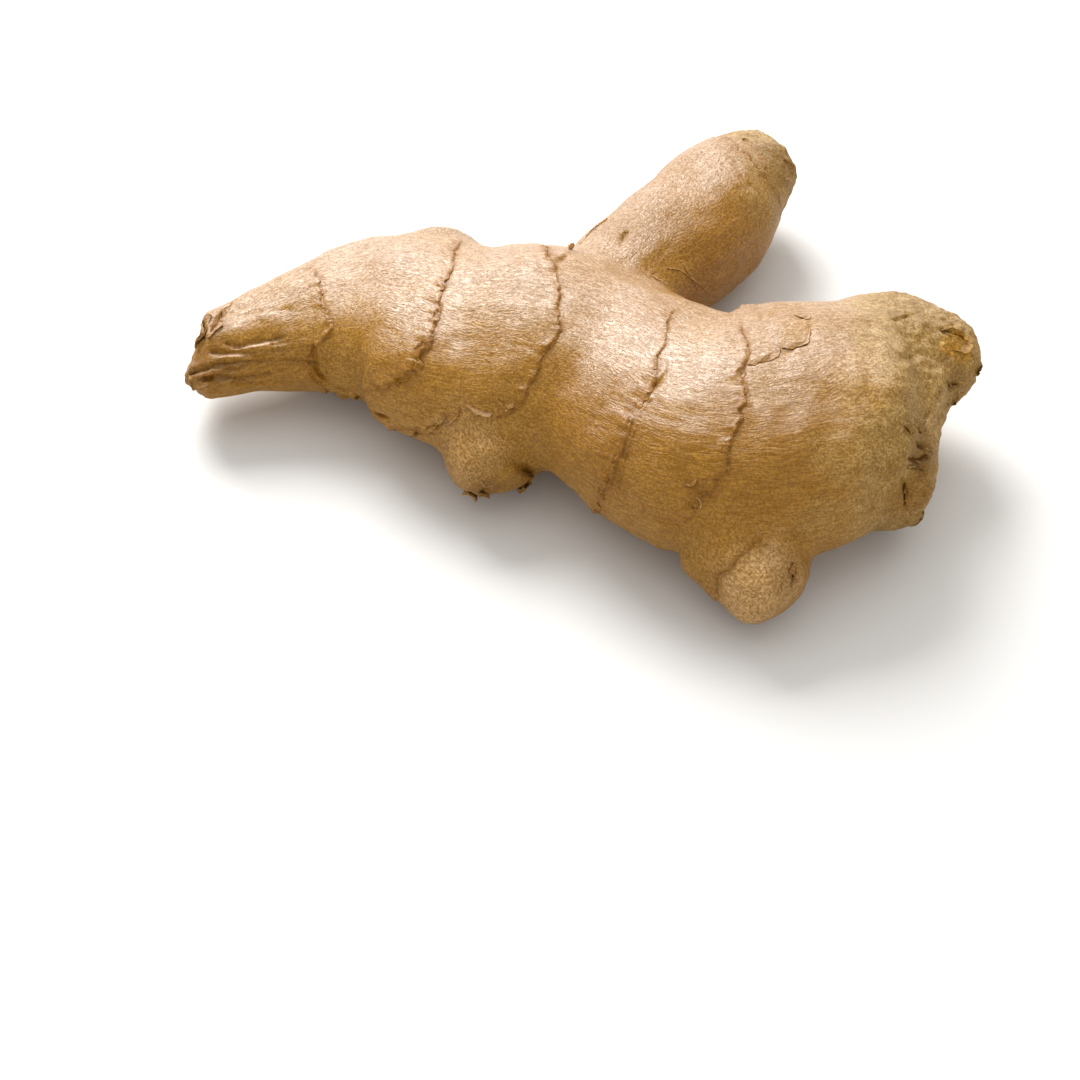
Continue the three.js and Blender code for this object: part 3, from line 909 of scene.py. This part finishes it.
def fibre(name, drawn, radius, lift, tree):
    """A thin dry root fibre that lies along picture points on the skin and narrows to its end."""
    low, high = np.array(solid_box) / MM
    rows = max(5, int(line_length(drawn) / FIBRE_SPACING))
    centres = []
    for share in np.linspace(0, 1, rows + 1):
        place, out = hovering_at(tree, *along_line(drawn, share), 0.2)
        if centres:
            place, out = kept_near(tree, place, out, centres[-1], 1.5)
        wave = 0.25 * lumps(place[None, :], 2.0, 53)[0]
        centres.append(place + out * (0.5 * radius + (lift + wave) * math.sin(math.pi * min(share, 0.6))))
    centres = np.array(centres)
    ahead = np.gradient(centres, axis=0)
    ahead /= np.linalg.norm(ahead, axis=1)[:, None]
    aside = np.cross(ahead, [0.0, 0.3, 1.0])
    aside /= np.linalg.norm(aside, axis=1)[:, None]
    above = np.cross(aside, ahead)
    mesh = bpy.data.meshes.new(name)
    tube = bmesh.new()
    bmesh.ops.create_grid(tube, x_segments=FIBRE_SIDES, y_segments=rows, size=0.5)
    for vertex in tube.verts:
        row = round((vertex.co.y + 0.5) * rows)
        turn = 2 * math.pi * (vertex.co.x + 0.5)
        girth = radius * (1 - 0.6 * row / rows)
        place = centres[row] + girth * (aside[row] * math.cos(turn) + above[row] * math.sin(turn))
        vertex.co = Vector(np.clip(place, low + TRIM_INSET, high - TRIM_INSET) * MM)
    bmesh.ops.remove_doubles(tube, verts=tube.verts, dist=SAME_PLACE)
    bmesh.ops.holes_fill(tube, edges=tube.edges, sides=0)
    bmesh.ops.recalc_face_normals(tube, faces=tube.faces)
    tube.to_mesh(mesh)
    tube.free()
    return mesh


class Nodes:
    """Adds shader nodes to a tree and joins them, in a few words."""

    def __init__(self, tree):
        self.tree = tree

    def add(self, kind, inputs=(), **settings):
        """A new node, with its settings and with a value or a link for each input."""
        node = self.tree.nodes.new(kind)
        for name, value in settings.items():
            setattr(node, name, value)
        for name, value in dict(inputs).items():
            socket = node.inputs[name]
            if isinstance(value, bpy.types.NodeSocket):
                self.tree.links.new(value, socket)
            else:
                socket.default_value = value
        return node

    def share(self, name):
        """One of the numbers that the mesh stores for each vertex."""
        return self.add("ShaderNodeAttribute", attribute_name=name).outputs["Fac"]

    def vector(self, name):
        """One of the vectors that the mesh stores for each vertex."""
        return self.add("ShaderNodeAttribute", attribute_name=name).outputs["Vector"]

    def noise(self, vector, scale, detail, roughness, distortion=0.0):
        """A noise from 0 to 1."""
        inputs = {"Vector": vector, "Scale": scale, "Detail": detail, "Roughness": roughness}
        return self.add("ShaderNodeTexNoise", {**inputs, "Distortion": distortion}).outputs["Fac"]

    def math(self, operation, *values):
        """A sum, product or other working on numbers."""
        return self.add("ShaderNodeMath", enumerate(values), operation=operation).outputs[0]

    def spread(self, value, low, high, to_low=0.0, to_high=1.0):
        """The value's range from low to high, drawn out smoothly to another range."""
        inputs = {"Value": value, "From Min": low, "From Max": high, "To Min": to_low, "To Max": to_high}
        return self.add("ShaderNodeMapRange", inputs, interpolation_type="SMOOTHSTEP").outputs["Result"]

    def mix(self, share, first, second):
        """Two colours, mixed by a share."""
        node = self.add("ShaderNodeMix", data_type="RGBA")
        for number, value in ((0, share), (6, first), (7, second)):
            if isinstance(value, bpy.types.NodeSocket):
                self.tree.links.new(value, node.inputs[number])
            else:
                node.inputs[number].default_value = value if number == 0 else (*value, 1.0)
        return node.outputs[2]

    def blend(self, share, first, second):
        """Two numbers, mixed by a share."""
        return self.add("ShaderNodeMix", {0: share, 2: first, 3: second}).outputs[0]

    def times(self, first, second):
        """The product of two numbers."""
        return self.math("MULTIPLY", first, second)

    def shift(self, operation, first, second):
        """Two vectors, multiplied or added."""
        return self.add("ShaderNodeVectorMath", {0: first, 1: second}, operation=operation).outputs[0]

    def folds(self, value, width):
        """Sharp folds along the lines where a noise passes its middle, from 0 on the line to 1."""
        return self.spread(self.math("ABSOLUTE", self.math("SUBTRACT", value, 0.5)), 0.0, width)


def wrinkle_height(nodes, grain, squeeze):
    """Fine wavy wrinkles that run along a grain, from 0 in their bottoms to 1. The squeeze, from 0 to 1,
    makes them shorter."""
    drift = nodes.add("ShaderNodeTexNoise", {"Vector": grain, "Scale": 0.35, "Detail": 1.0}).outputs["Color"]
    waved = nodes.shift("ADD", grain, nodes.shift("MULTIPLY", drift, (1.3, 1.3, 1.3)))
    long = nodes.shift("MULTIPLY", waved, (squeeze, 1.0, 1.0))
    folds = nodes.folds(nodes.noise(long, 1.5, 3.0, 0.65, 0.2), 0.14)
    streaks = nodes.spread(nodes.noise(long, 2.6, 2.0, 0.6), 0.3, 0.7)
    return nodes.blend(0.5, folds, streaks)


def skin_wrinkles(nodes, place, branch, olive):
    """The fine relief of the skin, from 0 in the wrinkles' bottoms to 1: long wrinkles along each limb,
    and a crumpled skin at the green-tan ends."""
    trunk = wrinkle_height(nodes, nodes.vector("trunk_grain"), 0.25)
    wrinkles = nodes.blend(branch, trunk, wrinkle_height(nodes, nodes.vector("branch_grain"), 0.45))
    crumple = nodes.folds(nodes.noise(place, 800.0, 3.0, 0.65, 1.8), 0.12)
    return nodes.blend(nodes.times(olive, 0.6), wrinkles, crumple)


def skin_ground(nodes, settings, place, upper, mottle):
    """The plain skin's colour: beige on top as painted highlight, tan on the sides, with pale mottling that
    is strongest on top, also painted highlight, and golden-brown patches at random.
    """
    cloud = nodes.spread(nodes.noise(place, 70.0, 3.0, 0.55), 0.3, 0.7, 0.6, 1.0)
    broad = nodes.spread(nodes.noise(place, 28.0, 2.0, 0.5), 0.45, 0.7, 0.0, 0.35)
    # Painted highlight: beige where the skin faces the top side, tan elsewhere.
    colour = nodes.mix(nodes.times(cloud, upper), settings.tan, settings.beige)
    colour = nodes.mix(broad, colour, settings.golden)
    # Random pale mottling, strongest on the top side as painted highlight.
    pale = nodes.times(nodes.spread(mottle, 0.5, 0.75, 0.0, 0.5), nodes.spread(upper, 0.0, 1.0, 0.15, 1.0))
    return nodes.mix(pale, colour, settings.pale)


def skin_patches(nodes, settings, colour, mottle, olive, dry):
    """The drawn patches over the plain skin: golden, sandy, green-tan, amber and dry. The golden ones are
    partly real marks and partly painted shade on the undersides and low sides.
    """
    # The golden patches are partly painted shade on the undersides and low sides.
    golden = nodes.times(nodes.share("golden"), nodes.spread(mottle, 0.2, 0.7, 0.95, 0.6))
    colour = nodes.mix(golden, colour, settings.golden)
    sandy = nodes.times(nodes.share("sandy"), nodes.spread(mottle, 0.2, 0.7, 0.6, 1.0))
    colour = nodes.mix(sandy, colour, settings.sand)
    olive_tone = nodes.mix(nodes.spread(mottle, 0.3, 0.7, 0.2, 0.9), settings.olive_dark, settings.olive)
    colour = nodes.mix(nodes.times(olive, 0.8), colour, olive_tone)
    amber = nodes.times(nodes.share("amber"), nodes.spread(mottle, 0.3, 0.6, 0.5, 1.0))
    colour = nodes.mix(amber, colour, settings.amber)
    dry_tone = nodes.mix(nodes.spread(mottle, 0.4, 0.6), settings.dry_dark, settings.dry)
    return nodes.mix(nodes.times(dry, nodes.spread(mottle, 0.3, 0.6, 0.35, 0.9)), colour, dry_tone)


def skin_scars(nodes, settings, colour, mottle):
    """The orange-brown band before each scar, and the thin dark line past it, which is painted shade in the
    groove under the lip.
    """
    scar = nodes.share("scar")
    marked = nodes.share("marked")
    band = nodes.times(nodes.spread(scar, -1.8, -0.1), nodes.spread(scar, 1.3, 0.2))
    band = nodes.times(band, nodes.spread(mottle, 0.35, 0.6, 0.45, 1.0))
    colour = nodes.mix(nodes.times(band, marked), colour, settings.scar)
    # Painted shade: the thin dark line in the groove just past each scar, under its lip.
    line = nodes.times(nodes.spread(scar, -0.1, 0.1), nodes.spread(scar, 0.45, 0.15))
    line = nodes.times(line, nodes.spread(mottle, 0.4, 0.6, 0.1, 0.6))
    return nodes.mix(nodes.times(line, marked), colour, settings.groove_shade)


def skin_material(settings):
    """The root's papery skin."""
    material = bpy.data.materials.new("ginger_skin")
    material.use_nodes = True
    tree = material.node_tree
    tree.nodes.clear()
    nodes = Nodes(tree)

    branch = nodes.share("branch")
    olive = nodes.share("olive")
    dry = nodes.share("dry")
    upper = nodes.share("upper")
    stain = nodes.share("stain")
    place = nodes.add("ShaderNodeTexCoord").outputs["Object"]
    mottle = nodes.noise(place, 420.0, 4.0, 0.6)
    grit = nodes.noise(place, 2300.0, 2.0, 0.6)
    speckle = nodes.noise(place, 1900.0, 3.0, 0.7)
    wrinkles = skin_wrinkles(nodes, place, branch, olive)

    colour = skin_ground(nodes, settings, place, upper, mottle)
    colour = skin_patches(nodes, settings, colour, mottle, olive, dry)
    colour = skin_scars(nodes, settings, colour, mottle)
    # Painted shade: the bottoms of the fine wrinkles are darkened; after that, the grit's low points and
    # random speckle are darkened with the same tone.
    colour = nodes.mix(nodes.spread(wrinkles, 0.0, 0.7, 0.55, 0.0), colour, settings.wrinkle_shade_and_grit)
    colour = nodes.mix(nodes.spread(grit, 0.38, 0.6, 0.6, 0.0), colour, settings.wrinkle_shade_and_grit)
    colour = nodes.mix(nodes.spread(speckle, 0.62, 0.8, 0.0, 0.25), colour, settings.wrinkle_shade_and_grit)
    # Painted shade in the bottoms of the drawn creases, cracks and pits.
    colour = nodes.mix(nodes.spread(stain, 0.12, 0.75), colour, settings.groove_shade)

    smooth = nodes.spread(nodes.noise(place, 55.0, 2.0, 0.5), 0.35, 0.65, 0.55, 1.0)
    smooth = nodes.times(smooth, nodes.spread(branch, 0.0, 1.0, 1.0, 1.5))
    relief = nodes.math("ADD", nodes.times(wrinkles, smooth), nodes.times(grit, 0.6))
    bump = nodes.add("ShaderNodeBump", {"Height": relief, "Strength": 1.0, "Distance": 0.12 * MM})
    gloss = nodes.times(nodes.spread(upper, 0.0, 0.8, 0.25, 1.0), nodes.spread(stain, 0.05, 0.5, 1.0, 0.1))
    gloss = nodes.times(gloss, nodes.spread(wrinkles, 0.0, 0.7, 0.5, 1.0))
    roughness = nodes.spread(mottle, 0.3, 0.7, 0.37, 0.5)
    roughness = nodes.math("ADD", roughness, nodes.times(nodes.math("MAXIMUM", olive, dry), 0.2))

    shader = nodes.add(
        "ShaderNodeBsdfPrincipled",
        {
            "Base Color": colour,
            "Roughness": roughness,
            "Normal": bump.outputs["Normal"],
            "IOR": 1.53,
            "Specular IOR Level": gloss,
            "Sheen Weight": 0.02,
            "Sheen Roughness": 0.4,
            "Subsurface Weight": 0.03,
            "Subsurface Radius": (1.0, 0.5, 0.25),
            "Subsurface Scale": 1.2 * MM,
        },
    )
    nodes.add("ShaderNodeOutputMaterial", {"Surface": shader.outputs["BSDF"]})
    return material


def plain_material(name, colour, roughness):
    """A plain matt finish, for the floor."""
    material = bpy.data.materials.new(name)
    material.use_nodes = True
    shader = material.node_tree.nodes["Principled BSDF"]
    shader.inputs["Base Color"].default_value = (*colour, 1.0)
    shader.inputs["Roughness"].default_value = roughness
    return material


def skin_piece(obj):
    """Ties a piece of skin to the root, with the root's finish."""
    obj.data.materials.clear()
    obj.data.materials.append(bpy.data.materials["ginger_skin"])
    obj.data.shade_smooth()
    if obj.name != SKIN:
        obj.data.set_sharp_from_angle(angle=SHARP_FOLD)
    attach(obj, "root")


def trim_piece(mesh, tree, **shares):
    """Puts a thin trim mesh in the scene, charted and finished as skin."""
    chart_skin(mesh, tree, **shares)
    skin_piece(put_in_scene(mesh.name, mesh))


def tone(name, description, *colour):
    """A colour that a user may change."""
    return bpy.props.FloatVectorProperty(
        name=name, description=description, subtype="COLOR", size=3, min=0.0, max=1.0, default=paint(*colour)
    )


def small_length(name, description, millimetres, least=0.0):
    """A small length that a user may change."""
    return bpy.props.FloatProperty(
        name=name, description=description, default=millimetres * MM, min=least * MM, unit="LENGTH"
    )


def light_power(name, description, watts):
    """A light's power that a user may change."""
    return bpy.props.FloatProperty(name=name, description=description, default=watts, unit="POWER")


class GingerSkinSettings(bpy.types.PropertyGroup):
    """Sizes and colours of the skin."""

    grain: small_length("Mesh grain", "Spacing of the fine mesh", 0.38, least=0.2)
    faces: bpy.props.IntProperty(
        name="Triangles", description="Most triangles in the finished skin", default=196000, min=10000
    )
    lip: small_length("Scar lip", "Height of the lip along each scar", 0.45)
    edge_lift: small_length("Edge lift", "How far the dry scale edges stand off", 0.16)
    wrinkle: small_length("Wrinkles", "Height of the modelled wrinkles", 0.09)
    # Painted highlight: the paler tone of the skin's top side.
    beige: tone("Beige", "Upper side of the skin", 194, 163, 134)
    tan: tone("Tan", "Sides and lower side of the skin", 178, 130, 48)
    # The pale mottling lies mostly on the top side, partly as painted highlight.
    pale: tone("Pale", "Pale mottling", 208, 184, 162)
    # Partly the skin's own golden-brown, partly painted shade on the undersides and low sides.
    golden: tone("Golden", "Golden-brown hollows and undersides", 158, 108, 26)
    olive: tone("Olive", "Green-tan ends", 204, 172, 108)
    olive_dark: tone("Dark olive", "Dark mottling of the green-tan ends", 146, 114, 44)
    sand: tone("Sand", "Lighter skin of the buds and the thin fibres", 222, 180, 122)
    amber: tone("Amber", "Orange-yellow scars of broken-off shoots", 206, 152, 46)
    dry: tone("Dry skin", "Dry torn skin", 152, 112, 62)
    dry_dark: tone("Dark dry skin", "Dark parts of the dry torn skin", 100, 66, 30)
    scar: tone("Scar edge", "Orange-brown edge along each scar", 156, 104, 30)
    # Painted shade: the bottoms of the drawn creases, cracks and pits, and the thin line in the scar grooves.
    groove_shade: tone("Crack", "Bottoms of cracks and scar grooves", 96, 60, 14)
    # Painted shade in the bottoms of the fine wrinkles; also the dark tone of the grit's low points and the
    # random speckle.
    wrinkle_shade_and_grit: tone("Wrinkle bottom", "Bottoms of the fine wrinkles", 120, 80, 24)


class GingerStageSettings(bpy.types.PropertyGroup):
    """Floor, light and camera."""

    floor_tone: tone("Floor", "Colour of the surface", 222, 221, 219)
    key: light_power("Key light", "Power of the soft light behind and above", 7.6)
    sky: light_power("Sky light", "Power of the wide light above", 4.0)
    fill: light_power("Fill light", "Power of the soft light in front", 0.8)
    surround: bpy.props.FloatProperty(
        name="Surround", description="Strength of the pale surround", default=0.62
    )
    lens: bpy.props.FloatProperty(name="Lens", description="Camera lens in millimetres", default=LENS)


class GINGER_OT_skin(bpy.types.Operator):
    """Grow the root's fine skin over its solid"""

    bl_idname = "ginger.skin"
    bl_label = "Skin"

    def execute(self, context):
        settings = context.scene.ginger_skin
        skin_material(settings)
        obj = put_in_scene(SKIN, merged_copy("rhizome"))
        tree = surface_of(obj)
        remesh = obj.modifiers.new("fine mesh", "REMESH")
        remesh.mode = "VOXEL"
        remesh.voxel_size = settings.grain
        settle_modifiers(obj)
        sculpt(obj.data, tree, settings.lip, settings.wrinkle)
        obj.modifiers.new("triangles", "TRIANGULATE")
        settle_modifiers(obj)
        share = settings.faces / len(obj.data.polygons)
        if share < 1:
            obj.modifiers.new("fewer triangles", "DECIMATE").ratio = share
            settle_modifiers(obj)
        keep_inside(obj.data)
        chart_skin(obj.data, tree)
        skin_piece(obj)
        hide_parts("rhizome")
        return {"FINISHED"}


class GINGER_OT_scale_edges(bpy.types.Operator):
    """Stand the dry edges of the scale leaves along the scars"""

    bl_idname = "ginger.scale_edges"
    bl_label = "Scale edges"

    def execute(self, context):
        lift = context.scene.ginger_skin.edge_lift / MM
        tree = surface_of(bpy.data.objects[SKIN])
        number = 0
        for limb in (TRUNK, RIGHT_BUD, FINGER):
            for scar, (strength, _, _) in zip(limb.scars, limb.marks):
                if strength > 0:
                    number += 1
                    mesh = scale_edge(f"scale_edge_{number}", limb, scar, tree, lift)
                    trim_piece(mesh, tree, past=-0.3)
        return {"FINISHED"}


class GINGER_OT_flakes(bpy.types.Operator):
    """Lay the torn flakes of dry skin and the thin root fibres on the skin"""

    bl_idname = "ginger.flakes"
    bl_label = "Flakes and fibres"

    def execute(self, context):
        tree = surface_of(bpy.data.objects[SKIN])
        for number, drawn in enumerate(FLAKES, start=1):
            mesh = flake(f"flake_{number}", *drawn, tree)
            trim_piece(mesh, tree, dryness=0.3, paleness=0.2, past=-0.3)
        for number, drawn in enumerate(FIBRES, start=1):
            mesh = fibre(f"fibre_{number}", *drawn, tree)
            trim_piece(mesh, tree, paleness=0.8, past=-3.0)
        return {"FINISHED"}


class GINGER_OT_stage(bpy.types.Operator):
    """Set the floor, the soft light and the camera"""

    bl_idname = "ginger.stage"
    bl_label = "Stage"

    def execute(self, context):
        settings = context.scene.ginger_stage
        mesh = bpy.data.meshes.new("floor")
        plane = bmesh.new()
        bmesh.ops.create_grid(plane, x_segments=1, y_segments=1, size=2.0)
        plane.to_mesh(mesh)
        plane.free()
        mesh.materials.append(plain_material("floor", settings.floor_tone, 0.9))
        put_in_scene("floor", mesh)

        self.soft_light(context, "key", (-0.2, 0.48, 0.5), 0.4, settings.key)
        self.soft_light(context, "sky", (0.0, 0.25, 0.9), 1.4, settings.sky)
        self.soft_light(context, "fill", (0.35, -0.75, 0.55), 0.7, settings.fill)
        world = bpy.data.worlds.new("surround")
        world.use_nodes = True
        background = world.node_tree.nodes["Background"]
        background.inputs["Color"].default_value = (1.0, 0.985, 0.96, 1.0)
        background.inputs["Strength"].default_value = settings.surround
        context.scene.world = world
        context.scene.view_settings.view_transform = "Standard"

        camera = bpy.data.cameras.new("camera")
        camera.lens = settings.lens
        camera.sensor_width = SENSOR
        camera.clip_start = 0.01
        obj = bpy.data.objects.new("camera", camera)
        obj.location = EYE
        obj.rotation_euler = (math.pi / 2 - ELEVATION, 0, 0)
        context.scene.collection.objects.link(obj)
        context.scene.camera = obj
        return {"FINISHED"}

    @staticmethod
    def soft_light(context, name, place, size, power):
        """A square soft light that faces the root."""
        light = bpy.data.lights.new(name, "AREA")
        light.size = size
        light.energy = power
        obj = bpy.data.objects.new(name, light)
        obj.location = place
        obj.rotation_euler = (Vector((0, 0, 0.015)) - obj.location).to_track_quat("-Z", "Y").to_euler()
        context.scene.collection.objects.link(obj)


class GINGER_PT_panel(bpy.types.Panel):
    """The ginger root's pieces and settings"""

    bl_label = "Ginger Root"
    bl_space_type = "VIEW_3D"
    bl_region_type = "UI"
    bl_category = "Ginger"

    def draw(self, context):
        for settings in (context.scene.ginger_skin, context.scene.ginger_stage):
            box = self.layout.box()
            for name in settings.__annotations__:
                box.prop(settings, name)
        for operator in OPERATORS:
            self.layout.operator(operator.bl_idname)


OPERATORS = [GINGER_OT_skin, GINGER_OT_scale_edges, GINGER_OT_flakes, GINGER_OT_stage]
CLASSES = [GingerSkinSettings, GingerStageSettings, *OPERATORS, GINGER_PT_panel]


def register():
    for cls in CLASSES:
        bpy.utils.register_class(cls)
    bpy.types.Scene.ginger_skin = bpy.props.PointerProperty(type=GingerSkinSettings)
    bpy.types.Scene.ginger_stage = bpy.props.PointerProperty(type=GingerStageSettings)


def unregister():
    del bpy.types.Scene.ginger_stage
    del bpy.types.Scene.ginger_skin
    for cls in reversed(CLASSES):
        bpy.utils.unregister_class(cls)


def main():
    register()
    bpy.ops.ginger.skin()
    bpy.ops.ginger.scale_edges()
    bpy.ops.ginger.flakes()
    bpy.ops.ginger.stage()


if __name__ == "__main__":
    main()
